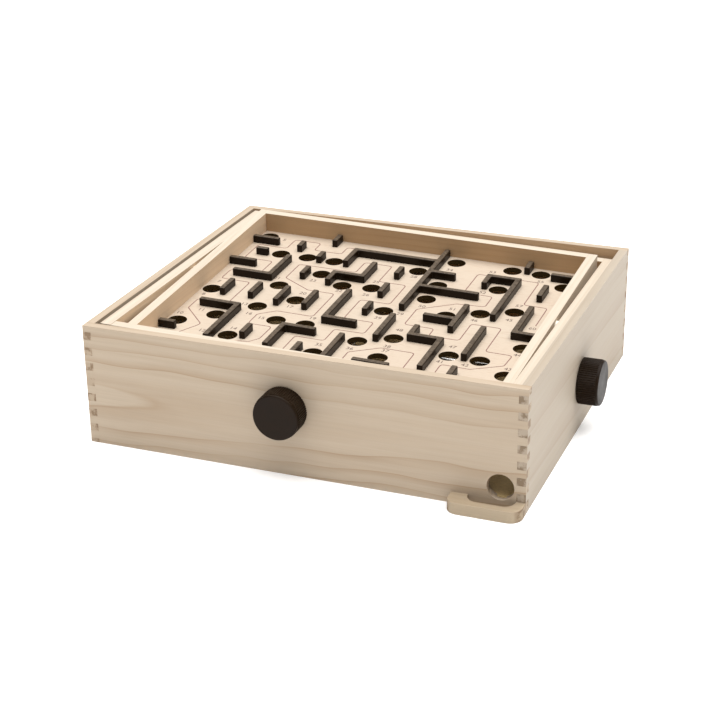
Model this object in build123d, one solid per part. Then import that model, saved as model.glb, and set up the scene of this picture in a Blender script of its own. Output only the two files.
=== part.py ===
"""Tilt maze game: a finger-jointed wooden box that holds two tilting frames, one inside the other.

The outer frame (the gimbal) rocks left and right on two pins in the front and back walls. The inner
frame carries the maze board and rocks to and fro on two pins in the gimbal's side rails. Each frame is
pulled by a cord that is wound round a steel rod, and each rod is turned by a knob outside the box. A
ball that drops through a hole rolls down the sloping catch floor to the hole in the front wall.

Millimetres, +Z up. The shapes are drawn about the centre of the box, and save() moves them so that the
origin lies under the middle of the whole object, knobs included. The frames are drawn level and then
turned to the tilt in which the game stands.
"""

import os
from math import asin, cos, degrees, radians, sin

from build123d import *

# Box
BOX_WIDTH = 325.0
BOX_DEPTH = 282.0
BOX_HEIGHT = 90.5
BOX_WALL = 6.5
FINGER = 5.915          # height of one finger of the corner joints
FIRST_FINGER = 3.0      # height of the lowest, cut finger

# Frames: half sizes outside, rail thickness and height
GIMBAL_HALF_WIDTH = 153.5
GIMBAL_HALF_DEPTH = 131.5
GIMBAL_RAIL = 8.0
GIMBAL_HEIGHT = 26.0
MAZE_HALF_WIDTH = 142.4
MAZE_HALF_DEPTH = 120.5
MAZE_RAIL = 7.2
MAZE_HEIGHT = 22.0
RIM_DROP = 4.0          # the level frames' tops lie this far under the box rim
PIVOT_DROP = 7.0        # the pivots lie this far under the frames' tops
GIMBAL_TILT = 1.25      # degrees, right side down
MAZE_TILT = 3.0         # degrees, back up

# Maze board
BOARD_DROP = 15.4       # board's top under the maze frame's top
BOARD_THICK = 4.0
BOARD_TONGUE = 3.0      # how far the board enters the rails
HOLE_RADIUS = 7.3
GRID = 23.0             # spacing of the hole columns and of the lines that carry the walls
HOLE_SHIFT = -0.6       # the hole columns lie this far off the middle between two grid lines
BAR_SHIFT = 0.1         # the grid lines lie this far off the board's middle
BAR_WIDTH = 4.5
BAR_HEIGHT = 6.0
BAR_ROUND = 1.0

# Rods and knobs
ROD_RADIUS = 3.0
ROD_FIT = 0.05          # radial clearance of a rod in a wall
FRONT_ROD_X = -9.0
FRONT_ROD_Z = 50.0
SIDE_ROD_Y = 0.0
SIDE_ROD_Z = 37.5
KNOB_RADIUS = 17.0
KNOB_REACH = 16.0       # from the wall to the knob's face
KNOB_GAP = 0.4
KNOB_CAP = 2.2          # smooth band at the knob's face
KNOB_RIBS = 64
RIB_DEPTH = 0.4
ROD_IN_KNOB = 12.0
BLIND_BORE = 5.0        # depth of the bores for rods and pins in the box walls
END_PLAY = 0.3

# Pivot pins and their spacer sleeves
PIN_RADIUS = 2.0
PIN_FIT = 0.05
PIN_COVER = 1.5         # wood left between a pin's end and its rail's inner face
SPACER_RADIUS = 4.5
SPACER_PLAY = 0.2

# Catch floor and ball exit
FLOOR_THICK = 3.0
FLOOR_GROOVE = 2.5
FLOOR_SLOPE = degrees(asin(0.03))
FLOOR_LOW = 8.7         # top of the floor at the exit corner
EXIT_X = 145.0
EXIT_Z = 17.5
EXIT_RADIUS = 9.5

# Ball tray in front of the exit
TRAY_LEFT = 110.5
TRAY_REACH = 15.0
TRAY_HEIGHT = 8.5
TRAY_CORNER = 9.0
TRAY_ROUND = 0.8
SCOOP_LEFT = 123.0
SCOOP_RIGHT = 156.0
SCOOP_REACH = 9.0
SCOOP_DEPTH = 5.0
SCOOP_CORNER = 8.0
SCOOP_ROUND = 3.0

# Cords and what holds them
CORD_RADIUS = 0.4
CORD_GAP = 0.3          # between the windings and the rod
CORD_TURNS = 3
CORD_PITCH = 1.1
CORD_BEND = 2.5
CORD_OFFSET = 18.0      # how far each cord lies to the side of the rod that it crosses
GUIDE_Z = 28.0
GUIDE_WIRE = 0.7
GUIDE_RING = 2.4
DROP_START = 4.0        # the upright stretch of cord starts this far above its guide
HOOK_RING = 1.8
HOOK_WIRE = 0.5
HOOK_SHANK = 7.0
SPRING_RADIUS = 1.5
SPRING_WIRE = 0.3
SPRING_TURNS = 5
SPRING_PITCH = 0.8
CLIP_RADIUS = 6.0
CLIP_THICK = 0.8

HALF_WIDTH = BOX_WIDTH / 2
HALF_DEPTH = BOX_DEPTH / 2
INNER_X = HALF_WIDTH - BOX_WALL
INNER_Y = HALF_DEPTH - BOX_WALL
FRAME_TOP = BOX_HEIGHT - RIM_DROP
PIVOT_Z = FRAME_TOP - PIVOT_DROP
BOARD_TOP = FRAME_TOP - BOARD_DROP
BOARD_X = MAZE_HALF_WIDTH - MAZE_RAIL
BOARD_Y = MAZE_HALF_DEPTH - MAZE_RAIL
ORIGIN_SHIFT = Location((-KNOB_REACH / 2, KNOB_REACH / 2, 0))

# Turning a level shape about the pivots: the maze frame rides in the gimbal frame
GIMBAL_TURN = Pos(0, 0, PIVOT_Z) * Rot(0, GIMBAL_TILT, 0)
GIMBAL_PLACE = GIMBAL_TURN * Pos(0, 0, -PIVOT_Z)
MAZE_PLACE = GIMBAL_TURN * Rot(MAZE_TILT, 0, 0) * Pos(0, 0, -PIVOT_Z)

# Holes by column, from the left: the y of each hole in that column
HOLES = {
    -6: (102.2, -7.0, -66.0),
    -5: (72.2, -48.0, -99.0),
    -4: (72.7, 16.0, -24.5, -76.8),
    -3: (72.5, 46.2, -5.0, -42.0, -98.0),
    -2: (31.5, -41.8, -104.0),
    -1: (34.8, -82.3),
    0: (77.0, -0.5, -54.5),
    1: (102.3, 56.6, 30.0, -41.5, -74.0),
    2: (7.5, -96.0),
    3: (102.3, 64.2, 19.0, -54.4, -101.0),
    4: (102.3, 30.0, -54.6, -94.0),
    5: (84.5, -26.0, -70.8, -103.0),
}

# Walls that run front to back: grid line, then both ends. An end is a y, None for the rail, or the
# middle y of a wall that runs left to right and the side of it that the end is flush with (-1 front, 1 back)
LONG_BARS = (
    (-5, -15.1, 5.5),
    (-4, 80.9, 92.0), (-4, (23.2, -1), 62.0), (-4, -14.2, 6.5), (-4, -91.5, (-35.7, 1)),
    (-3, 99.8, None), (-3, 65.3, 77.3), (-3, 32.0, 46.6), (-3, -19.2, 7.0), (-3, -79.0, -63.2),
    (-2, 65.0, (89.8, 1)), (-2, 27.5, (43.3, 1)), (-2, -19.2, 6.8), (-2, -90.0, (-55.7, 1)),
    (-1, (43.3, -1), 71.3), (-1, (-33.6, -1), 17.2), (-1, -96.0, -78.6),
    (0, 56.0, 70.1), (0, 19.8, 37.5), (0, -12.8, 2.2), (0, -98.0, -55.4),
    (1, 4.2, None), (1, -51.0, -12.0),
    (2, (-40.3, 1), -24.3),
    (3, 61.5, (76.8, 1)), (3, -19.6, 21.0), (3, -86.0, (-40.3, 1)),
    (4, 99.2, None), (4, 9.4, (76.8, 1)), (4, -58.8, -10.8), (4, -91.0, -77.2),
    (5, 52.8, 74.0), (5, (-12.4, 1), 33.8),
)

# Walls that run left to right: middle y, then where each end is: a grid line's number with the
# side of its wall (-1 left face, 1 right face), or None for the rail
CROSS_BARS = (
    (89.3, None, (-5, 1)), (67.4, (-5.25, -1), (-5, 1)), (43.6, None, (-5, 1)),
    (23.2, (-5.25, -1), (-4, -1)), (-35.7, (-5.25, -1), (-4, -1)), (-79.0, None, (-5.4, 1)),
    (89.8, (-2, 1), (1, -1)), (43.3, (-2, 1), (-1, -1)), (-33.6, (-1, 1), (0, 1)),
    (-55.7, (-2, 1), (-1, 1)),
    (69.8, (1, 1), (2, -1)), (41.8, (1, 1), (3, 1)), (76.8, (3, 1), (4, -1)),
    (-5.4, (2, -1), (3, -1)), (-40.3, (2, -1), (3, -1)), (-90.5, (1, -1), (2, 1)),
    (95.0, (5, -1), None), (-12.4, (5, -1), None),
)


def save(name, shape):
    """Writes one node, moved so that the origin is under the middle of the whole object."""
    export_step(ORIGIN_SHIFT * shape, f"parts/{name}.step")


def block(x0, x1, y0, y1, z0, z1):
    """A box between two corners."""
    centre = ((x0 + x1) / 2, (y0 + y1) / 2, (z0 + z1) / 2)
    return Pos(*centre) * Box(x1 - x0, y1 - y0, z1 - z0)


def rod_between(start, end, radius):
    """A round rod or a straight stretch of cord from one point to another."""
    direction = Vector(*end) - Vector(*start)
    return extrude(Plane(origin=start, z_dir=direction) * Circle(radius), direction.length)


# ---------------------------------------------------------------- box

def catch_floor():
    """The sloping hardboard floor, lowest at the exit corner, with its edges in the wall grooves."""
    plate = Pos(0, 0, -FLOOR_THICK / 2) * Box(2 * BOX_WIDTH, 2 * BOX_DEPTH, FLOOR_THICK)
    plate = plate.rotate(Axis.X, FLOOR_SLOPE).rotate(Axis.Y, FLOOR_SLOPE)
    plate = Pos(INNER_X - BOX_WALL, -INNER_Y + BOX_WALL, FLOOR_LOW) * plate
    reach_x, reach_y = INNER_X + FLOOR_GROOVE, INNER_Y + FLOOR_GROOVE
    return plate & block(-reach_x, reach_x, -reach_y, reach_y, 0, BOX_HEIGHT)


def finger_spans():
    """Heights of the side walls' fingers, which are the gaps of the front and back walls."""
    spans = [(0, FIRST_FINGER)]
    low = FIRST_FINGER + FINGER
    while low < BOX_HEIGHT - FINGER:
        spans.append((low, low + FINGER))
        low += 2 * FINGER
    return spans


def corner_fingers(end_x, end_y):
    """The blocks of one corner that belong to the side wall."""
    x0, x1 = sorted((end_x * INNER_X, end_x * HALF_WIDTH))
    y0, y1 = sorted((end_y * INNER_Y, end_y * HALF_DEPTH))
    return [block(x0, x1, y0, y1, low, high) for low, high in finger_spans()]


def cross_wall(end_y, floor):
    """The front (-1) or back (1) wall, without its bores."""
    y0, y1 = sorted((end_y * INNER_Y, end_y * HALF_DEPTH))
    wall = block(-HALF_WIDTH, HALF_WIDTH, y0, y1, 0, BOX_HEIGHT)
    for end_x in (-1, 1):
        for finger in corner_fingers(end_x, end_y):
            wall -= finger
    return wall - floor - y_bore(0, PIVOT_Z, end_y, PIN_RADIUS + PIN_FIT, BLIND_BORE)


def side_wall(end_x, floor):
    """The left (-1) or right (1) wall, without its bores."""
    x0, x1 = sorted((end_x * INNER_X, end_x * HALF_WIDTH))
    wall = block(x0, x1, -INNER_Y, INNER_Y, 0, BOX_HEIGHT)
    for end_y in (-1, 1):
        for finger in corner_fingers(end_x, end_y):
            wall += finger
    return wall - floor


def y_bore(x, z, end_y, radius, depth):
    """A bore from inside the box into the front or back wall."""
    start, end = end_y * (INNER_Y - 1), end_y * (INNER_Y + depth)
    return rod_between((x, start, z), (x, end, z), radius)


def x_bore(y, z, end_x, radius, depth):
    """A bore from inside the box into the left or right wall."""
    start, end = end_x * (INNER_X - 1), end_x * (INNER_X + depth)
    return rod_between((start, y, z), (end, y, z), radius)


def ball_tray():
    """The wooden ledge under the exit, with rounded front corners and a scooped rest for the ball."""
    ledge = block(TRAY_LEFT, HALF_WIDTH, -HALF_DEPTH - TRAY_REACH, -HALF_DEPTH, 0, TRAY_HEIGHT)
    front_edges = ledge.edges().filter_by(Axis.Z).sort_by(Axis.Y)[:2]
    ledge = fillet(front_edges, TRAY_CORNER)
    scoop = block(SCOOP_LEFT, SCOOP_RIGHT, -HALF_DEPTH - SCOOP_REACH, -HALF_DEPTH + SCOOP_REACH,
                  TRAY_HEIGHT - SCOOP_DEPTH, TRAY_HEIGHT + SCOOP_DEPTH)
    scoop = fillet(scoop.edges().filter_by(Axis.Z), SCOOP_CORNER)
    scoop = fillet(scoop.faces().sort_by(Axis.Z)[0].edges(), SCOOP_ROUND)
    ledge -= scoop
    return fillet(ledge.faces().sort_by(Axis.Y)[0].edges().sort_by(Axis.Z)[-1], TRAY_ROUND)


def make_box():
    floor = catch_floor()
    rod_hole = ROD_RADIUS + ROD_FIT
    front = cross_wall(-1, floor) - y_bore(FRONT_ROD_X, FRONT_ROD_Z, -1, rod_hole, 2 * BOX_WALL)
    front -= y_bore(EXIT_X, EXIT_Z, -1, EXIT_RADIUS, 2 * BOX_WALL)
    back = cross_wall(1, floor) - y_bore(FRONT_ROD_X, FRONT_ROD_Z, 1, rod_hole, BLIND_BORE)
    right = side_wall(1, floor) - x_bore(SIDE_ROD_Y, SIDE_ROD_Z, 1, rod_hole, 2 * BOX_WALL)
    left = side_wall(-1, floor) - x_bore(SIDE_ROD_Y, SIDE_ROD_Z, -1, rod_hole, BLIND_BORE)
    eyes = {side: guide_eye(side) for side in ("left", "right", "front", "back")}
    walls = {"front": front, "back": back, "left": left, "right": right}
    for side, wall in walls.items():
        save(f"wall_{side}", wall - eyes[side])
        save(f"cord_guide_{side}", eyes[side])
    save("catch_floor", floor)
    save("ball_tray", ball_tray())


# ---------------------------------------------------------------- cords

def winding_edges(across):
    """Where a cord's winding starts and ends along its rod."""
    half = CORD_TURNS * CORD_PITCH / 2
    return across - half, across + half


WIND_RADIUS = ROD_RADIUS + CORD_GAP + CORD_RADIUS
GIMBAL_CORD_Y = winding_edges(CORD_OFFSET)
MAZE_CORD_X = winding_edges(CORD_OFFSET)
GIMBAL_GUIDE_X = GIMBAL_HALF_WIDTH - GIMBAL_RAIL / 2
MAZE_GUIDE_Y = MAZE_HALF_DEPTH - MAZE_RAIL / 2


def guide_point(side):
    """The middle of the cord's guide on one wall."""
    return {
        "left": (-GIMBAL_GUIDE_X, GIMBAL_CORD_Y[0], GUIDE_Z),
        "right": (GIMBAL_GUIDE_X, GIMBAL_CORD_Y[1], GUIDE_Z),
        "front": (MAZE_CORD_X[0], -MAZE_GUIDE_Y, GUIDE_Z),
        "back": (MAZE_CORD_X[1], MAZE_GUIDE_Y, GUIDE_Z),
    }[side]


def guide_eye(side):
    """A screw eye in the wall: a ring that the cord runs through, on a shank that enters the wall."""
    x, y, z = guide_point(side)
    along_x = side in ("left", "right")
    sign = -1 if side in ("left", "front") else 1
    normal = (sign, 0, 1) if along_x else (0, sign, 1)
    ring = Plane(origin=(x, y, z), z_dir=normal) * Torus(GUIDE_RING, GUIDE_WIRE)
    lift = GUIDE_RING * sin(radians(45))
    if along_x:
        start = (x + sign * lift, y, z - lift)
        end = (sign * (INNER_X + BLIND_BORE), y, z - lift)
    else:
        start = (x, y + sign * lift, z - lift)
        end = (x, sign * (INNER_Y + BLIND_BORE), z - lift)
    return ring + rod_between(start, end, GUIDE_WIRE)


def winding(centre, axis_dir):
    """The cord's turns round a rod, starting under the rod at centre and going along axis_dir."""
    turns = Helix(CORD_PITCH, CORD_PITCH * CORD_TURNS, WIND_RADIUS)
    start = Plane(origin=turns @ 0, z_dir=turns % 0)
    coil = sweep(start * Circle(CORD_RADIUS), path=turns)
    return Plane(origin=centre, x_dir=(0, 0, -1), z_dir=axis_dir) * coil


def cord_run(guides, rod_ends, coil):
    """One cord from guide to guide, with its turns round the rod in the middle."""
    stretches = [coil]
    for guide, rod_end in zip(guides, rod_ends):
        top = (guide[0], guide[1], guide[2] + DROP_START)
        path = FilletPolyline(top, guide, rod_end, radius=CORD_BEND)
        profile = Plane(origin=path @ 0, z_dir=path % 0) * Circle(CORD_RADIUS)
        stretches.append(sweep(profile, path=path))
    return Compound(stretches)


def make_cords():
    under_front_rod = FRONT_ROD_Z - WIND_RADIUS
    under_side_rod = SIDE_ROD_Z - WIND_RADIUS
    gimbal_coil = winding((FRONT_ROD_X, GIMBAL_CORD_Y[0], FRONT_ROD_Z), (0, 1, 0))
    maze_coil = winding((MAZE_CORD_X[0], SIDE_ROD_Y, SIDE_ROD_Z), (1, 0, 0))
    save("gimbal_cord", cord_run(
        (guide_point("left"), guide_point("right")),
        [(FRONT_ROD_X, y, under_front_rod) for y in GIMBAL_CORD_Y], gimbal_coil))
    save("maze_cord", cord_run(
        (guide_point("front"), guide_point("back")),
        [(x, SIDE_ROD_Y, under_side_rod) for x in MAZE_CORD_X], maze_coil))
    for side in ("left", "right"):
        save(f"gimbal_cord_end_{side}", cord_end(side, GIMBAL_PLACE, GIMBAL_BOTTOM))
    for side in ("front", "back"):
        save(f"maze_cord_end_{side}", cord_end(side, MAZE_PLACE, MAZE_BOTTOM))


def cord_end(side, frame_place, rail_bottom):
    """The upright stretch of cord between its guide and the spring under the frame."""
    x, y, z = guide_point(side)
    spring_end = (frame_place * Pos(x, y, rail_bottom - HANGER_LENGTH)).position
    return rod_between((x, y, z + DROP_START), spring_end, CORD_RADIUS)


# Under a rail: the hook's ring, the spring's upper loop, its coil and its lower loop
SPRING_COIL = SPRING_TURNS * SPRING_PITCH
LOOP_RADIUS = SPRING_RADIUS
HOOK_CENTRE = HOOK_RING + 2 * HOOK_WIRE
LOOP_CENTRE = HOOK_CENTRE + HOOK_RING - HOOK_WIRE + LOOP_RADIUS - SPRING_WIRE - 0.1
COIL_TOP = LOOP_CENTRE + LOOP_RADIUS
LOWER_LOOP = COIL_TOP + SPRING_COIL + LOOP_RADIUS
HANGER_LENGTH = LOWER_LOOP + LOOP_RADIUS + SPRING_WIRE + 0.05
GIMBAL_BOTTOM = FRAME_TOP - GIMBAL_HEIGHT
MAZE_BOTTOM = FRAME_TOP - MAZE_HEIGHT


def hook(x, y, rail_bottom):
    """A screw eye in the underside of a rail."""
    ring = Pos(x, y, rail_bottom - HOOK_CENTRE) * Rot(90, 0, 0) * Torus(HOOK_RING, HOOK_WIRE)
    shank_low = rail_bottom - HOOK_CENTRE + HOOK_RING
    return ring + rod_between((x, y, shank_low), (x, y, rail_bottom + HOOK_SHANK), HOOK_WIRE)


def spring(x, y, rail_bottom):
    """A tension spring: a close coil with a loop at each end."""
    turns = Helix(SPRING_PITCH, SPRING_COIL, SPRING_RADIUS)
    profile = Plane(origin=turns @ 0, z_dir=turns % 0) * Circle(SPRING_WIRE)
    coil = Pos(x, y, rail_bottom - COIL_TOP - SPRING_COIL) * sweep(profile, path=turns)
    solids = [coil]
    for loop_z in (LOOP_CENTRE, LOWER_LOOP):
        loop = Rot(0, 90, 0) * Torus(LOOP_RADIUS, SPRING_WIRE)
        solids.append(Pos(x, y, rail_bottom - loop_z) * loop)
    for leg_z in (COIL_TOP, COIL_TOP + SPRING_COIL):
        leg = ((x, y, rail_bottom - leg_z), (x + SPRING_RADIUS, y, rail_bottom - leg_z))
        solids.append(rod_between(*leg, SPRING_WIRE))
    return solids[0].fuse(*solids[1:])


# ---------------------------------------------------------------- frames

def rails(half_x, half_y, rail, height):
    """Four level rails with butt joints: the side rails run the full depth."""
    low = FRAME_TOP - height
    return {
        "front": block(-half_x + rail, half_x - rail, -half_y, -half_y + rail, low, FRAME_TOP),
        "back": block(-half_x + rail, half_x - rail, half_y - rail, half_y, low, FRAME_TOP),
        "left": block(-half_x, -half_x + rail, -half_y, half_y, low, FRAME_TOP),
        "right": block(half_x - rail, half_x, -half_y, half_y, low, FRAME_TOP),
    }


def make_gimbal():
    frame = rails(GIMBAL_HALF_WIDTH, GIMBAL_HALF_DEPTH, GIMBAL_RAIL, GIMBAL_HEIGHT)
    inner_x = GIMBAL_HALF_WIDTH - GIMBAL_RAIL
    for sign, side in ((-1, "front"), (1, "back")):
        inside = (0, sign * (GIMBAL_HALF_DEPTH - GIMBAL_RAIL + PIN_COVER), PIVOT_Z)
        tip = (0, sign * (INNER_Y + BLIND_BORE - END_PLAY), PIVOT_Z)
        pin = rod_between(inside, tip, PIN_RADIUS)
        spacer_start = (0, sign * GIMBAL_HALF_DEPTH, PIVOT_Z)
        spacer_end = (0, sign * (INNER_Y - SPACER_PLAY), PIVOT_Z)
        save(f"gimbal_pin_{side}", GIMBAL_PLACE * pin)
        spacer = rod_between(spacer_start, spacer_end, SPACER_RADIUS) - pin
        save(f"gimbal_spacer_{side}", GIMBAL_PLACE * spacer)
        frame[side] -= pin
    for sign, side in ((-1, "left"), (1, "right")):
        bore = rod_between((sign * (inner_x - 1), 0, PIVOT_Z),
                           (sign * (GIMBAL_HALF_WIDTH - 1), 0, PIVOT_Z), PIN_RADIUS + PIN_FIT)
        x, y, _ = guide_point(side)
        eye = hook(x, y, GIMBAL_BOTTOM)
        frame[side] -= bore + eye
        save(f"gimbal_hook_{side}", GIMBAL_PLACE * eye)
        save(f"gimbal_spring_{side}", GIMBAL_PLACE * spring(x, y, GIMBAL_BOTTOM))
    for side, rail in frame.items():
        save(f"gimbal_rail_{side}", GIMBAL_PLACE * rail)


def board_blank():
    """The plywood plate, its edges in the rails' grooves."""
    x, y = BOARD_X + BOARD_TONGUE, BOARD_Y + BOARD_TONGUE
    return block(-x, x, -y, y, BOARD_TOP - BOARD_THICK, BOARD_TOP)


def hole_centres():
    """The middle of every hole, as x and y on the board."""
    return [(GRID * (column + 0.5) + HOLE_SHIFT, y) for column, ys in HOLES.items() for y in ys]


def line_x(line, side):
    """The x of a grid line's wall face."""
    return GRID * line + BAR_SHIFT + side * BAR_WIDTH / 2


def bar_end(end):
    """The y of one end of a wall that runs front to back."""
    if end is None:
        return BOARD_Y
    if isinstance(end, tuple):
        middle, side = end
        return middle + side * BAR_WIDTH / 2
    return end


def bar(x0, x1, y0, y1):
    """One wall strip standing on the board, with sharp edges."""
    return block(x0, x1, y0, y1, BOARD_TOP, BOARD_TOP + BAR_HEIGHT)


def soft_walls(strips):
    """Joins the strips that touch, and rounds the edges of each wall that comes of it."""
    walls = []
    for wall in strips[0].fuse(*strips[1:]).clean().solids():
        wall = wall.fillet(BAR_ROUND, wall.edges().filter_by(Axis.Z))
        top = wall.faces().sort_by(Axis.Z)[-1]
        walls.append(wall.fillet(BAR_ROUND * 0.95, top.edges()))
    return walls


def bars():
    """Every wall, by board area: left, middle and right."""
    areas = {"left": [], "middle": [], "right": []}
    for line, start, end in LONG_BARS:
        area = "left" if line <= -3 else "middle" if line <= 1 else "right"
        areas[area].append(bar(line_x(line, -1), line_x(line, 1), bar_end(start), bar_end(end)))
    for y, start, end in CROSS_BARS:
        x0 = -BOARD_X if start is None else line_x(*start)
        x1 = BOARD_X if end is None else line_x(*end)
        area = "left" if x1 < line_x(-3, 1) else "middle" if x0 < line_x(2, -1) - 0.1 else "right"
        areas[area].append(bar(x0, x1, y - BAR_WIDTH / 2, y + BAR_WIDTH / 2))
    return {area: soft_walls(strips) for area, strips in areas.items()}


def make_maze():
    frame = rails(MAZE_HALF_WIDTH, MAZE_HALF_DEPTH, MAZE_RAIL, MAZE_HEIGHT)
    board = board_blank()
    for side in frame:
        frame[side] -= board
    gimbal_inner = GIMBAL_HALF_WIDTH - GIMBAL_RAIL
    for sign, side in ((-1, "left"), (1, "right")):
        pin = rod_between((sign * (BOARD_X + PIN_COVER), 0, PIVOT_Z),
                          (sign * (GIMBAL_HALF_WIDTH - 1 - END_PLAY), 0, PIVOT_Z), PIN_RADIUS)
        sleeve = rod_between((sign * MAZE_HALF_WIDTH, 0, PIVOT_Z),
                             (sign * (gimbal_inner - SPACER_PLAY), 0, PIVOT_Z), SPACER_RADIUS)
        save(f"maze_pin_{side}", MAZE_PLACE * pin)
        save(f"maze_spacer_{side}", MAZE_PLACE * (sleeve - pin))
        frame[side] -= pin
    for side in ("front", "back"):
        x, y, _ = guide_point(side)
        eye = hook(x, y, MAZE_BOTTOM)
        frame[side] -= eye
        board -= eye
        save(f"maze_hook_{side}", MAZE_PLACE * eye)
        save(f"maze_spring_{side}", MAZE_PLACE * spring(x, y, MAZE_BOTTOM))
    for side, rail in frame.items():
        save(f"maze_rail_{side}", MAZE_PLACE * rail)
    drills = [Pos(x, y, BOARD_TOP) * Cylinder(HOLE_RADIUS, 3 * BOARD_THICK)
              for x, y in hole_centres()]
    save("maze_board", MAZE_PLACE * board.cut(*drills))
    for area, strips in bars().items():
        save(f"maze_walls_{area}", Compound([MAZE_PLACE * strip for strip in strips]))


# ---------------------------------------------------------------- knobs and rods

def knob():
    """A ribbed knob on the +Z axis, its back at KNOB_GAP and its face at KNOB_REACH."""
    points = []
    for step in range(2 * KNOB_RIBS):
        radius = KNOB_RADIUS - (step % 2) * RIB_DEPTH
        angle = radians(180 * step / KNOB_RIBS)
        points.append((radius * cos(angle), radius * sin(angle)))
    ribbed = extrude(make_face(Polyline(*points, close=True)), KNOB_REACH - KNOB_CAP - KNOB_GAP)
    cap = Pos(0, 0, KNOB_REACH - KNOB_CAP) * Cylinder(
        KNOB_RADIUS - RIB_DEPTH, KNOB_CAP, align=(Align.CENTER, Align.CENTER, Align.MIN))
    cap = fillet(cap.edges().sort_by(Axis.Z)[-1], 1.1)
    bore = Cylinder(ROD_RADIUS, ROD_IN_KNOB, align=(Align.CENTER, Align.CENTER, Align.MIN))
    return Pos(0, 0, KNOB_GAP) * ribbed + cap - bore


def clip(inside, outward):
    """A push-on washer that keeps a rod from being pulled out of its wall."""
    ring = Cylinder(CLIP_RADIUS, CLIP_THICK) - Cylinder(ROD_RADIUS, 2 * CLIP_THICK)
    return Plane(origin=inside, z_dir=outward) * ring


def make_shaft(name, wall_point, outward, far_end):
    """A knob with its rod and washer. wall_point is where the rod leaves the box."""
    base = Vector(*wall_point)
    out = Vector(*outward)
    knob_end = base + out * ROD_IN_KNOB
    inside = base - out * (BOX_WALL + END_PLAY + CLIP_THICK / 2)
    save(f"{name}_knob", Plane(origin=base, z_dir=out) * knob())
    save(f"{name}_rod", rod_between(tuple(knob_end), far_end, ROD_RADIUS))
    save(f"{name}_rod_washer", clip(inside, out))


os.makedirs("parts", exist_ok=True)
make_box()
make_cords()
make_gimbal()
make_maze()
make_shaft("front", (FRONT_ROD_X, -HALF_DEPTH, FRONT_ROD_Z), (0, -1, 0),
           (FRONT_ROD_X, INNER_Y + BLIND_BORE - END_PLAY, FRONT_ROD_Z))
make_shaft("side", (HALF_WIDTH, SIDE_ROD_Y, SIDE_ROD_Z), (1, 0, 0),
           (-INNER_X - BLIND_BORE + END_PLAY, SIDE_ROD_Y, SIDE_ROD_Z))
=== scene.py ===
"""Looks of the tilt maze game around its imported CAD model: materials, the printed track, light and camera.

Metres, in the CAD frame. Sizes named _MM are in millimetres.
"""

import math

import bpy
from mathutils import Matrix, Vector


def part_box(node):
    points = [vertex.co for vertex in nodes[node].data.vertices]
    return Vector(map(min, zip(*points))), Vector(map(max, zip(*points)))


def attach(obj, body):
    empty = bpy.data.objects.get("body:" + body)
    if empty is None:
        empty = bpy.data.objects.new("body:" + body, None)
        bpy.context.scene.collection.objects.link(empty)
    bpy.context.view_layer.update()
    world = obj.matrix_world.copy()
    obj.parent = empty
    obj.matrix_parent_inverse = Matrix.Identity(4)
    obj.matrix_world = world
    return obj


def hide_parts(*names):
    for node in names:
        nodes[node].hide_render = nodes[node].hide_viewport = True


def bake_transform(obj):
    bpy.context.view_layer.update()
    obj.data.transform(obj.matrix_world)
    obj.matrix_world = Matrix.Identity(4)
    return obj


MM = 0.001

# Tilt in which the game stands, as in the CAD source
GIMBAL_TILT_DEG = 1.25
MAZE_TILT_DEG = 3.0
BOARD_UNDER_PIVOT_MM = 8.4

# Rounding of the wood's edges
WALL_EDGE_MM = 0.35
RAIL_EDGE_MM = 0.6

# Printed track and numerals
TRACK_WIDTH_MM = 0.75
TRACK_BEND_MM = 3.0
INK_ABOVE_MM = 0.05
INK_BELOW_MM = 0.05
NUMERAL_HEIGHT_MM = 4.2

# Camera: direction from the object, and the object's place in the frame
VIEW_AZIMUTH = 0.3764603
VIEW_ELEVATION = 0.4119110
VIEW_ROLL = 0.0141145
VIEW_DISTANCE_MM = 1280.452
VIEW_ASIDE_MM = 8.4777
VIEW_DOWN_MM = 27.1531
VIEW_LENS = 83.98

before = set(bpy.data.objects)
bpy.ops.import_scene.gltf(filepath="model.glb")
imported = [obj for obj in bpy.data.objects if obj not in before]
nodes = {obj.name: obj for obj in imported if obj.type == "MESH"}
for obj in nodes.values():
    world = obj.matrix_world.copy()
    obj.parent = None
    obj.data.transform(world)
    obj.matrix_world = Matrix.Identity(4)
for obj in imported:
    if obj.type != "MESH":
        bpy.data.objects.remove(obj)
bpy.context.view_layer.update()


# ---------------------------------------------------------------- placing

def middle(*names):
    """The middle of the box round some CAD nodes."""
    lows, highs = zip(*(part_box(name) for name in names))
    low = Vector(min(v[i] for v in lows) for i in range(3))
    high = Vector(max(v[i] for v in highs) for i in range(3))
    return (low + high) / 2


box_middle = middle("wall_front", "wall_back", "wall_left", "wall_right")
pivot = Vector((box_middle.x, box_middle.y, middle("gimbal_pin_front").z))
GIMBAL_PLACE = Matrix.Translation(pivot) @ Matrix.Rotation(math.radians(GIMBAL_TILT_DEG), 4, "Y")
MAZE_PLACE = GIMBAL_PLACE @ Matrix.Rotation(math.radians(MAZE_TILT_DEG), 4, "X")
BOARD_PLACE = MAZE_PLACE @ Matrix.Translation((0, 0, -BOARD_UNDER_PIVOT_MM * MM))


# ---------------------------------------------------------------- material nodes

def linear(red, green, blue):
    """A colour picked in sRGB, 0 to 255, as the linear colour that a shader takes."""
    def channel(value):
        value /= 255
        return value / 12.92 if value <= 0.04045 else ((value + 0.055) / 1.055) ** 2.4
    return (channel(red), channel(green), channel(blue), 1)


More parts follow.
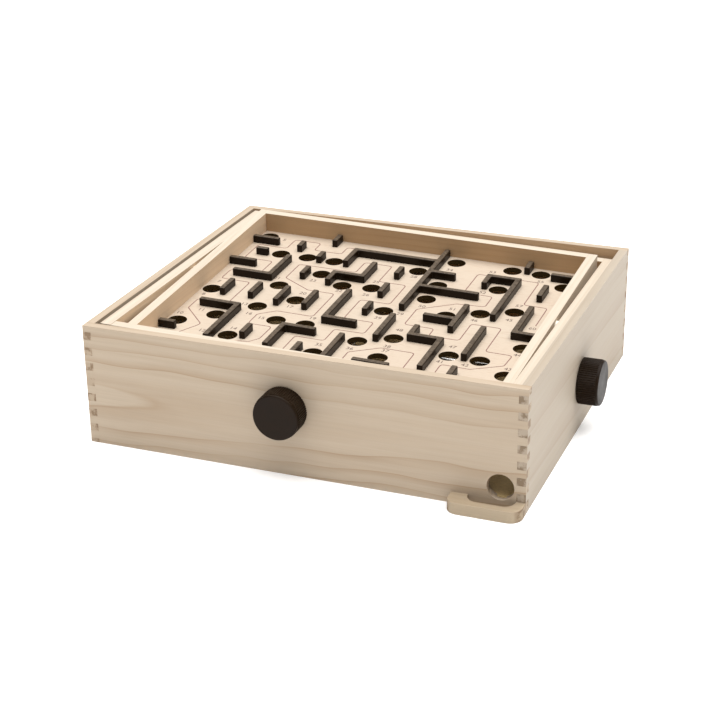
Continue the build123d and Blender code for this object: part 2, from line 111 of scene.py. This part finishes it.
class Graph:
    """A material and short calls that add nodes to it."""

    def __init__(self, name, roughness=0.5, specular=0.5):
        self.material = bpy.data.materials.new(name)
        self.material.use_nodes = True
        self.tree = self.material.node_tree
        self.shader = self.tree.nodes["Principled BSDF"]
        self.shader.inputs["Roughness"].default_value = roughness
        self.shader.inputs["Specular IOR Level"].default_value = specular
        self.coordinates = self.add("ShaderNodeTexCoord")

    def add(self, kind, values=(), **settings):
        """A new node. values are (input, a socket to link or a value to set)."""
        node = self.tree.nodes.new(kind)
        for key, value in settings.items():
            setattr(node, key, value)
        for key, value in values:
            if isinstance(value, bpy.types.NodeSocket):
                self.tree.links.new(value, node.inputs[key])
            else:
                node.inputs[key].default_value = value
        return node

    def math(self, operation, first, second=0.0, clamp=False):
        values = ((0, first), (1, second))
        return self.add("ShaderNodeMath", values, operation=operation, use_clamp=clamp).outputs[0]

    def vector(self, operation, first, second):
        values = ((0, first), (1, second))
        return self.add("ShaderNodeVectorMath", values, operation=operation).outputs[0]

    def mapping(self, vector, location=(0, 0, 0), rotation=(0, 0, 0), scale=(1, 1, 1)):
        values = (("Vector", vector), ("Location", location), ("Rotation", rotation), ("Scale", scale))
        return self.add("ShaderNodeMapping", values).outputs[0]

    def noise(self, vector, scale=1.0, detail=3.0, roughness=0.5, output="Fac"):
        values = (("Vector", vector), ("Scale", scale), ("Detail", detail), ("Roughness", roughness))
        return self.add("ShaderNodeTexNoise", values).outputs[output]

    def ramp(self, factor, *stops):
        """A colour ramp. Each stop is a place and a grey value."""
        node = self.add("ShaderNodeValToRGB", ((0, factor),))
        elements = node.color_ramp.elements
        while len(elements) < len(stops):
            elements.new(0.5)
        for element, (place, grey) in zip(elements, stops):
            element.position = place
            element.color = (grey, grey, grey, 1)
        return node.outputs["Color"]

    def mix(self, factor, first, second, blend="MIX"):
        node = self.add("ShaderNodeMix", data_type="RGBA", blend_type=blend)
        for key, value in ((0, factor), (6, first), (7, second)):
            if isinstance(value, bpy.types.NodeSocket):
                self.tree.links.new(value, node.inputs[key])
            else:
                node.inputs[key].default_value = value
        return node.outputs[2]

    def colour(self, value):
        self.tree.links.new(value, self.shader.inputs["Base Color"])

    def roughness(self, value):
        self.tree.links.new(value, self.shader.inputs["Roughness"])

    def bump(self, height, distance, strength=1.0):
        values = (("Height", height), ("Distance", distance), ("Strength", strength))
        node = self.add("ShaderNodeBump", values)
        self.tree.links.new(node.outputs[0], self.shader.inputs["Normal"])


def facing(g, direction):
    """How far each face points in a direction: 1 for straight at it, -1 for straight away."""
    values = ((0, g.coordinates.outputs["Normal"]), (1, direction))
    return g.add("ShaderNodeVectorMath", values, operation="DOT_PRODUCT").outputs["Value"]


def growth_rings(g, along, heart, lean, rise, ring, seed, warp):
    """Dark bands where the rings of a tree meet the board, with wavering edges and fainter stretches."""
    slow = g.noise(g.mapping(along, (seed, seed, 0), scale=(9, 20, 20)), detail=2, output="Color")
    slow = g.vector("SUBTRACT", slow, (0.5, 0.5, 0.5))
    slow = g.vector("MULTIPLY", slow, (0, 0.3 * warp * MM, 2 * warp * MM))
    sideways, up = heart
    centred = g.mapping(g.vector("ADD", along, slow), (0, -sideways * MM, -up * MM))
    leaning = g.mapping(centred, rotation=(0, math.atan(rise), -math.atan(lean)))
    values = (("Vector", leaning), ("Scale", 2 * math.pi / (20 * ring * MM)), ("Distortion", 0.0))
    rings = g.add("ShaderNodeTexWave", values, wave_type="RINGS", rings_direction="X",
                  wave_profile="SAW").outputs["Fac"]
    band = g.ramp(rings, (0.0, 0.55), (0.1, 0.4), (0.45, 0.0), (0.92, 0.05), (0.96, 1.0), (1.0, 0.55))
    patch = g.noise(g.mapping(along, (0, seed, 0), scale=(6, 30, 30)), detail=2)
    return g.math("MULTIPLY", band, g.ramp(patch, (0.34, 0.25), (0.6, 1.0)))


def end_grain(g, along, light, seed):
    """Cut ends of the board, darker in patches where the wood has soaked."""
    blotch = g.noise(g.mapping(along, (seed, 0, 0)), scale=190, detail=3, roughness=0.6)
    soaked = g.mix(1.0, light, SOAKED, blend="MULTIPLY")
    fresh = g.mix(1.0, light, FRESH_END, blend="MULTIPLY")
    return g.mix(g.ramp(blotch, (0.42, 1.0), (0.56, 0.0)), fresh, soaked)


def wood(name, grain, light, heart, lean=0.0, rise=0.0, ring=8.0, contrast=0.5, seed=0.0, warp=6.0,
         inner=None, inner_light_and_shade=None):
    """Planed softwood with its grain along x or y.

    heart is where the rings' axis lies across the grain, in millimetres: sideways and up. lean and rise are
    how far it moves sideways and up for each millimetre along the board. ring is the rings' spacing, and
    warp how far their bands waver. inner is the direction of the inward faces, and the argument after it
    the tint laid over them there, as painted shade and painted warm bounce light.
    """
    g = Graph(name, specular=0.25)
    turn = -math.pi / 2 if grain == "y" else 0
    along = g.mapping(g.coordinates.outputs["Object"], rotation=(0, 0, turn))
    band = growth_rings(g, along, heart, lean, rise, ring, seed, warp)
    broad = g.noise(g.mapping(along, (seed, 0, seed), scale=(4, 40, 40)), detail=3)
    line = g.noise(g.mapping(along, (seed, seed, seed), scale=(9, 240, 240)), detail=3, roughness=0.6)
    fibre = g.noise(g.mapping(along, (0, 0, seed), scale=(16, 900, 900)), detail=4, roughness=0.65)
    amount = g.math("ADD", g.math("MULTIPLY", band, contrast), g.math("MULTIPLY", broad, 0.25))
    streaks = g.math("MULTIPLY", g.math("SUBTRACT", line, 0.5), 0.35)
    amount = g.math("ADD", amount, streaks, clamp=True)
    face = g.mix(amount, light, g.mix(1.0, light, LATEWOOD, blend="MULTIPLY"))
    face = g.mix(0.4, face, g.ramp(fibre, (0.3, 0.82), (0.6, 1.0)), blend="MULTIPLY")
    # Painted shade and painted warm bounce light on the faces that point inward, set by which way they face.
    if inner:
        inner_face_light_and_shade = g.mix(1.0, face, inner_light_and_shade, blend="MULTIPLY")
        face = g.mix(g.ramp(facing(g, inner), (0.7, 0.0), (0.9, 1.0)), face, inner_face_light_and_shade)
    grain_axis = (0, 1, 0) if grain == "y" else (1, 0, 0)
    end = g.ramp(g.math("ABSOLUTE", facing(g, grain_axis)), (0.55, 0.0), (0.85, 1.0))
    g.colour(g.mix(end, face, end_grain(g, along, light, seed)))
    g.roughness(g.ramp(fibre, (0.25, 0.47), (0.75, 0.67)))
    height = g.math("ADD", g.math("MULTIPLY", fibre, 0.6), g.math("MULTIPLY", line, 0.8))
    g.bump(height, 0.00005, 0.5)
    return g.material


def board_veneer(name):
    """Pale beech plywood: faint short flecks along the grain, and a layered edge painted very dark as the
    shade inside the holes.
    """
    g = Graph(name, roughness=0.5, specular=0.3)
    place = g.coordinates.outputs["Object"]
    fleck = g.noise(g.mapping(place, scale=(130, 1500, 300)), detail=2)
    fleck = g.ramp(fleck, (0.56, 0.0), (0.72, 1.0))
    cloud = g.noise(g.mapping(place, scale=(5, 22, 5)), detail=3)
    base = g.mix(cloud, linear(188, 174, 156), linear(182, 164, 145))
    face = g.mix(g.math("MULTIPLY", fleck, 0.5), base, linear(158, 132, 110))
    normal = g.coordinates.outputs["Normal"]
    upright = g.add("ShaderNodeSeparateXYZ", ((0, normal),)).outputs["Z"]
    edge = g.ramp(g.math("ABSOLUTE", upright), (0.5, 1.0), (0.8, 0.0))
    height = g.add("ShaderNodeSeparateXYZ", ((0, place),)).outputs["Z"]
    layer = g.math("SINE", g.math("MULTIPLY", height, 2 * math.pi / (1.4 * MM)))
    # Painted shade: the layered edge, which lines the holes, is made dark brown for the shade inside them.
    ply_and_hole_shade = g.mix(g.ramp(layer, (0.4, 0.0), (0.6, 1.0)), linear(66, 48, 20), linear(48, 34, 12))
    g.colour(g.mix(edge, face, ply_and_hole_shade))
    g.bump(g.noise(g.mapping(place, scale=(60, 900, 200)), detail=3), 0.00004, 0.4)
    return g.material


def plastic(name, dark, pale, grain=900, rough=0.45, wear=0.3, specular=0.5, top=None):
    """Moulded plastic or lacquer with a fine surface texture and paler patches.

    grain is the texture's fineness and wear the patches' strength. top is the colour of the upper faces, a
    painted highlight where the light falls on them.
    """
    g = Graph(name, roughness=rough, specular=specular)
    place = g.coordinates.outputs["Object"]
    fine = g.noise(place, scale=grain, detail=3)
    cloud = g.noise(place, scale=60, detail=3)
    face = g.mix(g.math("MULTIPLY", g.ramp(cloud, (0.3, 0.0), (0.7, 1.0)), wear), dark, pale)
    # Painted highlight: the upper faces turn towards the top colour, as if lit from above.
    if top:
        up = g.add("ShaderNodeSeparateXYZ", ((0, g.coordinates.outputs["Normal"]),)).outputs["Z"]
        wear_and_top_light = g.math("MULTIPLY", g.ramp(up, (0.6, 0.0), (0.95, 1.0)), g.ramp(fine, (0.3, 0.4), (0.6, 1.0)))
        face = g.mix(wear_and_top_light, face, top)
    g.colour(face)
    g.roughness(g.ramp(cloud, (0.3, rough - 0.06), (0.7, rough + 0.1)))
    g.bump(fine, 0.00003, 0.6)
    return g.material


def steel(name):
    """Bright drawn wire and rod with fine scratches."""
    g = Graph(name, roughness=0.3)
    g.shader.inputs["Metallic"].default_value = 1.0
    place = g.coordinates.outputs["Object"]
    scratch = g.noise(g.mapping(place, scale=(1400, 1400, 300)), detail=3)
    g.colour(g.mix(scratch, linear(168, 166, 162), linear(205, 203, 200)))
    g.roughness(g.ramp(scratch, (0.3, 0.22), (0.7, 0.42)))
    return g.material


def hardboard(name):
    """Brown pressed board with short fibres."""
    g = Graph(name, roughness=0.6, specular=0.3)
    place = g.coordinates.outputs["Object"]
    fibre = g.noise(g.mapping(place, scale=(700, 700, 700)), detail=4, roughness=0.7)
    cloud = g.noise(place, scale=30, detail=3)
    base = g.mix(cloud, linear(214, 187, 136), linear(190, 162, 112))
    g.colour(g.mix(0.6, base, g.ramp(fibre, (0.3, 0.6), (0.7, 1.0)), blend="MULTIPLY"))
    g.bump(fibre, 0.0001, 0.5)
    return g.material


def twine(name):
    """Dark twisted cord."""
    g = Graph(name, roughness=0.85, specular=0.2)
    place = g.coordinates.outputs["Object"]
    strand = g.noise(place, scale=2600, detail=2)
    g.colour(g.mix(strand, linear(34, 32, 30), linear(84, 80, 74)))
    g.bump(strand, 0.0001, 0.8)
    return g.material


def ink(name, colour, faded):
    """Printing ink with thin, faded spots."""
    g = Graph(name, roughness=0.6, specular=0.2)
    wear_and_top_light = g.noise(g.coordinates.outputs["Object"], scale=900, detail=2)
    g.colour(g.mix(g.ramp(wear_and_top_light, (0.4, 0.0), (0.75, 1.0)), colour, faded))
    return g.material


# Colours of the woods, and what lies over them: latewood bands, cut ends, and the painted shade and painted
# warm bounce light on inner faces
PINE = linear(179, 163, 143)
PALE_PINE = linear(171, 159, 143)
CREAM = linear(197, 185, 168)
TRAY_PINE = linear(170, 154, 131)
LATEWOOD = (0.70, 0.59, 0.48, 1)
FRESH_END = (0.86, 0.82, 0.78, 1)
SOAKED = (0.48, 0.40, 0.32, 1)
INNER_BOUNCE_LIGHT = (1.3, 1.13, 0.95, 1)
INNER_BACK_SHADE = (0.86, 0.64, 0.43, 1)

WOODS = {
    "wall_front": wood("box_wood_front", "x", PINE, heart=(-85.3, 42), lean=0.015, rise=0.02, ring=5.8,
                       contrast=0.8, seed=3.1, warp=8.0),
    # The back wall's inward face gets painted shade with a warm bounce.
    "wall_back": wood("box_wood_back", "x", PINE, heart=(110, 40), lean=-0.08, ring=8, seed=7.7,
                      inner=(0, -1, 0), inner_light_and_shade=(1.15, 0.97, 0.78, 1)),
    "wall_left": wood("box_wood_left", "y", PINE, heart=(-100, 20), lean=0.02, ring=5, seed=1.3),
    "wall_right": wood("box_wood_right", "y", PALE_PINE, heart=(60, -30), lean=0.01, ring=11, contrast=0.3,
                       seed=5.9, warp=2.0),
    "ball_tray": wood("tray_wood", "x", TRAY_PINE, heart=(0, 60), ring=5, contrast=0.4, seed=2.2, warp=2.0),
}

# Sides of a frame: the grain's direction, and the way to the middle
SIDES = {
    "front": ("x", (0, 1, 0)),
    "back": ("x", (0, -1, 0)),
    "left": ("y", (1, 0, 0)),
    "right": ("y", (-1, 0, 0)),
}
for index, body in enumerate(("gimbal", "maze")):
    for side_index, (side, (run, inward)) in enumerate(SIDES.items()):
        # Inward faces of the rails: painted shade on the back rails, painted warm bounce light on the others.
        WOODS[f"{body}_rail_{side}"] = wood(
            f"{body}_wood_{side}", run, CREAM, heart=(50 + 9 * side_index, 160), ring=4, contrast=0.4,
            seed=11 + 4 * index + side_index, warp=2.0, inner=inward,
            inner_light_and_shade=INNER_BACK_SHADE if side == "back" else INNER_BOUNCE_LIGHT)

# The bars' upper faces get a paler brown as a painted highlight.
BAR_BROWN = plastic("maze_bar_lacquer", linear(24, 15, 7), linear(40, 29, 18), grain=500, rough=0.3, wear=0.5,
                    specular=0.1, top=linear(92, 80, 67))
KNOB_BROWN = plastic("knob_moulding", linear(23, 13, 4), linear(40, 26, 13), grain=1500, rough=0.42,
                     specular=0.1)
SLEEVE_WHITE = plastic("sleeve_plastic", linear(232, 228, 216), linear(212, 206, 192), rough=0.5)
STEEL = steel("plain_steel")
FLOOR_BOARD = hardboard("catch_board")
TWINE = twine("pull_twine")
BEECH = board_veneer("board_veneer")


def material_of(name):
    """The material of a CAD node."""
    if name in WOODS:
        return WOODS[name]
    for part, material in (("maze_board", BEECH), ("maze_walls", BAR_BROWN), ("knob", KNOB_BROWN),
                           ("spacer", SLEEVE_WHITE), ("catch_floor", FLOOR_BOARD), ("hook", STEEL),
                           ("spring", STEEL), ("pin", STEEL), ("rod", STEEL), ("guide", STEEL),
                           ("cord", TWINE)):
        if part in name:
            return material
    raise ValueError(name)


def soften(node, width):
    """Joins the model's split faces and rounds its sharp edges."""
    weld = node.modifiers.new("weld", "WELD")
    weld.merge_threshold = 1e-6
    flat = node.modifiers.new("flat", "DECIMATE")
    flat.decimate_type = "DISSOLVE"
    flat.angle_limit = math.radians(0.5)
    edge = node.modifiers.new("edge", "BEVEL")
    edge.width = width
    edge.segments = 2
    edge.limit_method = "ANGLE"
    edge.angle_limit = math.radians(40)
    edge.harden_normals = True


for name, node in nodes.items():
    node.data.materials.clear()
    node.data.materials.append(material_of(name))
    if name.startswith("wall_"):
        soften(node, WALL_EDGE_MM * MM)
    elif "rail" in name:
        soften(node, RAIL_EDGE_MM * MM)


# ---------------------------------------------------------------- print on the board

TRACK = (
    (-35, 103), (-58.5, 102), (-58.5, 88.5), (-82, 88.5), (-82, 103), (-104.5, 103), (-104.5, 84.5),
    (-129, 84.5), (-129, 56.5), (-104.5, 56.5), (-104.5, 31), (-129, 31), (-129, 13.5), (-104.5, 13.5),
    (-104.5, -27), (-129, -27), (-129, -44), (-108, -66), (-110, -71), (-117, -84), (-117, -110),
    (-81, -110), (-81, -92), (-70, -83), (-62, -81), (-57, -74), (-56.5, -53.5), (-75.5, -53.5),
    (-75.5, -37), (-64, -27), (-35, -27), (-35, 15.5), (-57, 15.5), (-82, 31), (-82, 58.5), (-34.5, 58.5),
    (-34.5, 79), (-11.5, 79), (-11.5, 48.5), (11, 48.5), (11, 12.5), (-12.5, 12.5), (-12.5, -21.5),
    (11, -21.5), (11, -41), (-12, -41.5), (-12, -61.5), (-34.5, -61.5), (-34.5, -84), (-34.5, -92),
    (-22, -104), (3, -104), (11, -96), (11, -72.5), (31, -58.5), (56, -58.5), (56, -87.5), (79, -87.5),
    (79, -68.5), (100, -69), (121, -56), (122, -39), (102, -39), (102, 0.5), (79, 0.5), (79, -28.5),
    (56, -28.5), (56, -16.5), (33, -16.5), (33, 11), (58, 30), (79.5, 32), (79.5, 51), (56.5, 51),
    (56.5, 87.5), (105.5, 87.5), (105.5, 45), (124, 45), (124, 13),
)

NUMERALS = (
    ("21", -88, 28), ("7", -128, 7), ("8", -129, -18), ("10", -131, -54), ("11", -118, -44),
    ("12", -102, -76), ("13", -92, -24), ("14", -82, -65), ("16", -82, -38), ("15", -70, -42),
    ("17", -58, -17), ("20", -58, 8.5), ("23", -60, 33), ("19", -34, -30), ("5", -113, 100),
    ("22", -34, 22), ("26", -12, 22), ("25", -13, 47), ("28", 11, 66), ("34", 33, 88), ("50", 35, 17),
    ("51", 58, 20), ("39", 11, -13), ("29", 24, -1), ("48", 33, -27), ("38", 34, -55), ("37", 35, -62),
    ("36", 10, -67), ("35", -13, -69), ("46", 79, 7), ("45", 103, 16), ("57", 103, 42), ("60", 123, 8),
    ("44", 125, -37), ("43", 125, -60), ("42", 95, -64), ("41", 77, -65), ("47", 78, -40),
    ("52", 70, 56), ("53", 66, 95), ("55", 106, 90),
)


def rounded(points, radius):
    """The points of a line with its corners rounded."""
    line = [Vector(points[0])]
    for before, corner, after in zip(points, points[1:], points[2:]):
        corner = Vector(corner)
        inward, outward = Vector(before) - corner, Vector(after) - corner
        half = inward.angle(outward) / 2
        reach = min(radius / math.tan(half), 0.45 * inward.length, 0.45 * outward.length)
        start, end = corner + inward.normalized() * reach, corner + outward.normalized() * reach
        for step in range(7):
            t = step / 6
            line.append(start.lerp(corner, t).lerp(corner.lerp(end, t), t))
    line.append(Vector(points[-1]))
    return line


def new_piece(name, mesh, material, body):
    piece = bpy.data.objects.new(name, mesh)
    bpy.context.scene.collection.objects.link(piece)
    piece.data.materials.append(material)
    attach(piece, body)
    return piece


def track_mesh(points, width):
    """A thin closed strip of ink along a line, on the board."""
    half = width / 2 * MM
    line = [p * MM for p in rounded(points, TRACK_BEND_MM)]
    vertices = []
    for i, p in enumerate(line):
        before = (p - line[i - 1]).normalized() if i else (line[1] - p).normalized()
        after = (line[i + 1] - p).normalized() if i + 1 < len(line) else before
        way = (before + after).normalized()
        side = Vector((-way.y, way.x)) * half / max(0.5, way.dot(before))
        for edge in (p + side, p - side):
            for height in (INK_ABOVE_MM * MM, -INK_BELOW_MM * MM):
                vertices.append(BOARD_PLACE @ Vector((edge.x, edge.y, height)))
    faces = [(0, 2, 3, 1)]
    for i in range(len(line) - 1):
        a, b = 4 * i, 4 * i + 4
        faces += [(a, b, b + 2, a + 2), (a + 1, a + 3, b + 3, b + 1), (a, a + 1, b + 1, b),
                  (a + 2, b + 2, b + 3, a + 3)]
    last = 4 * (len(line) - 1)
    faces.append((last, last + 1, last + 3, last + 2))
    mesh = bpy.data.meshes.new("board_track")
    mesh.from_pydata(vertices, [], faces)
    mesh.validate()
    return mesh


def numeral_mesh(text, x, y):
    """One numeral as a thin solid, set upright as seen from the front."""
    curve = bpy.data.curves.new("numeral", "FONT")
    curve.body = text
    curve.align_x = "CENTER"
    curve.align_y = "CENTER"
    curve.size = NUMERAL_HEIGHT_MM * 1.35 * MM
    curve.extrude = (INK_ABOVE_MM + INK_BELOW_MM) / 2 * MM
    curve.resolution_u = 4
    lettering = bpy.data.objects.new("numeral", curve)
    mesh = bpy.data.meshes.new_from_object(lettering)
    mesh.transform(BOARD_PLACE @ Matrix.Translation((x * MM, y * MM, 0)))
    bpy.data.objects.remove(lettering)
    return mesh


new_piece("board_track", track_mesh(TRACK, TRACK_WIDTH_MM),
          ink("track_ink", linear(112, 80, 74), linear(138, 108, 98)), "maze")
numeral_ink = ink("numeral_ink", linear(84, 68, 62), linear(112, 94, 86))
for text, x, y in NUMERALS:
    new_piece(f"numeral_{text}", numeral_mesh(text, x, y), numeral_ink, "maze")


# ---------------------------------------------------------------- upright ends of the cords

def tube(name, start, end, radius, sides=12, steps=8):
    """A round stretch of cord from start to end, closed at both ends."""
    way = (end - start).normalized()
    across = way.cross(Vector((0, 1, 0))).normalized()
    other = way.cross(across)
    vertices = []
    for step in range(steps + 1):
        centre = start.lerp(end, step / steps)
        for i in range(sides):
            angle = 2 * math.pi * i / sides
            vertices.append(centre + radius * (across * math.cos(angle) + other * math.sin(angle)))
    faces = [tuple(range(sides)), tuple(reversed(range(steps * sides, (steps + 1) * sides)))]
    for step in range(steps):
        for i in range(sides):
            a, b = step * sides + i, step * sides + (i + 1) % sides
            faces.append((a, a + sides, b + sides, b))
    mesh = bpy.data.meshes.new(name)
    mesh.from_pydata(vertices, [], faces)
    mesh.shade_smooth()
    piece = bpy.data.objects.new(name, mesh)
    bpy.context.scene.collection.objects.link(piece)
    piece.data.materials.append(TWINE)
    return piece


def ends_of(node):
    """The middle of a cord end's foot and of its top."""
    points = [v.co.copy() for v in nodes[node].data.vertices]
    low, high = min(p.z for p in points), max(p.z for p in points)
    foot = [p for p in points if p.z < low + 0.2 * MM]
    top = [p for p in points if p.z > high - 0.2 * MM]
    return sum(foot, Vector()) / len(foot), sum(top, Vector()) / len(top)


CORD_RADIUS = 0.4 * MM
for side in ("left", "right"):
    foot, top = ends_of(f"gimbal_cord_end_{side}")
    piece = tube(f"gimbal_cord_upright_{side}", foot, top, CORD_RADIUS)
    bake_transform(piece)
    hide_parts(f"gimbal_cord_end_{side}")
for side in ("front", "back"):
    foot, top = ends_of(f"maze_cord_end_{side}")
    half_way = foot.lerp(top, 0.5)
    lower = tube(f"maze_cord_foot_{side}", foot, half_way, CORD_RADIUS)
    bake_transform(lower)
    upper = tube(f"maze_cord_upright_{side}", half_way, top, CORD_RADIUS)
    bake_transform(upper)
    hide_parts(f"maze_cord_end_{side}")


# ---------------------------------------------------------------- floor, light and camera

def floor():
    g = Graph("pale_floor", roughness=0.9, specular=0.1)
    cloud = g.noise(g.coordinates.outputs["Object"], scale=3)
    g.colour(g.mix(cloud, (0.93, 0.93, 0.93, 1), (0.95, 0.95, 0.95, 1)))
    g.shader.inputs["Emission Color"].default_value = (1, 1, 1, 1)
    g.shader.inputs["Emission Strength"].default_value = 0.15
    mesh = bpy.data.meshes.new("floor")
    size = 12
    corners = [(-size, -size, 0), (size, -size, 0), (size, size, 0), (-size, size, 0)]
    mesh.from_pydata(corners, [], [(0, 1, 2, 3)])
    mesh.materials.append(g.material)
    plane = bpy.data.objects.new("floor", mesh)
    bpy.context.scene.collection.objects.link(plane)


def sun(name, toward, strength, spread_deg):
    """A broad, even light from far away. toward is the direction from the object to the light."""
    light = bpy.data.lights.new(name, "SUN")
    light.energy = strength
    light.angle = math.radians(spread_deg)
    lamp = bpy.data.objects.new(name, light)
    lamp.rotation_mode = "QUATERNION"
    lamp.rotation_quaternion = Vector(toward).to_track_quat("Z", "Y")
    bpy.context.scene.collection.objects.link(lamp)


def sky(strength):
    world = bpy.data.worlds.new("studio")
    bpy.context.scene.world = world
    world.use_nodes = True
    world.node_tree.nodes["Background"].inputs["Color"].default_value = (1, 1, 1, 1)
    world.node_tree.nodes["Background"].inputs["Strength"].default_value = strength


def camera():
    back = Vector((math.sin(VIEW_AZIMUTH) * math.cos(VIEW_ELEVATION),
                   -math.cos(VIEW_AZIMUTH) * math.cos(VIEW_ELEVATION), math.sin(VIEW_ELEVATION)))
    level = (-back).cross(Vector((0, 0, 1))).normalized()
    below = (-back).cross(level)
    right = level * math.cos(VIEW_ROLL) + below * math.sin(VIEW_ROLL)
    down = below * math.cos(VIEW_ROLL) - level * math.sin(VIEW_ROLL)
    target = Vector((box_middle.x, box_middle.y, 0))
    place = target + MM * (back * VIEW_DISTANCE_MM - right * VIEW_ASIDE_MM - down * VIEW_DOWN_MM)
    data = bpy.data.cameras.new("camera")
    data.lens = VIEW_LENS
    data.sensor_width = 36
    data.clip_start = 0.01
    eye = bpy.data.objects.new("camera", data)
    eye.matrix_world = Matrix.Translation(place) @ Matrix((right, -down, back)).transposed().to_4x4()
    bpy.context.scene.collection.objects.link(eye)
    bpy.context.scene.camera = eye


floor()
sun("overhead", (0.06, 0.08, 1), 4.8, 70)
sky(0.5)
camera()
bpy.context.scene.view_settings.view_transform = "Standard"
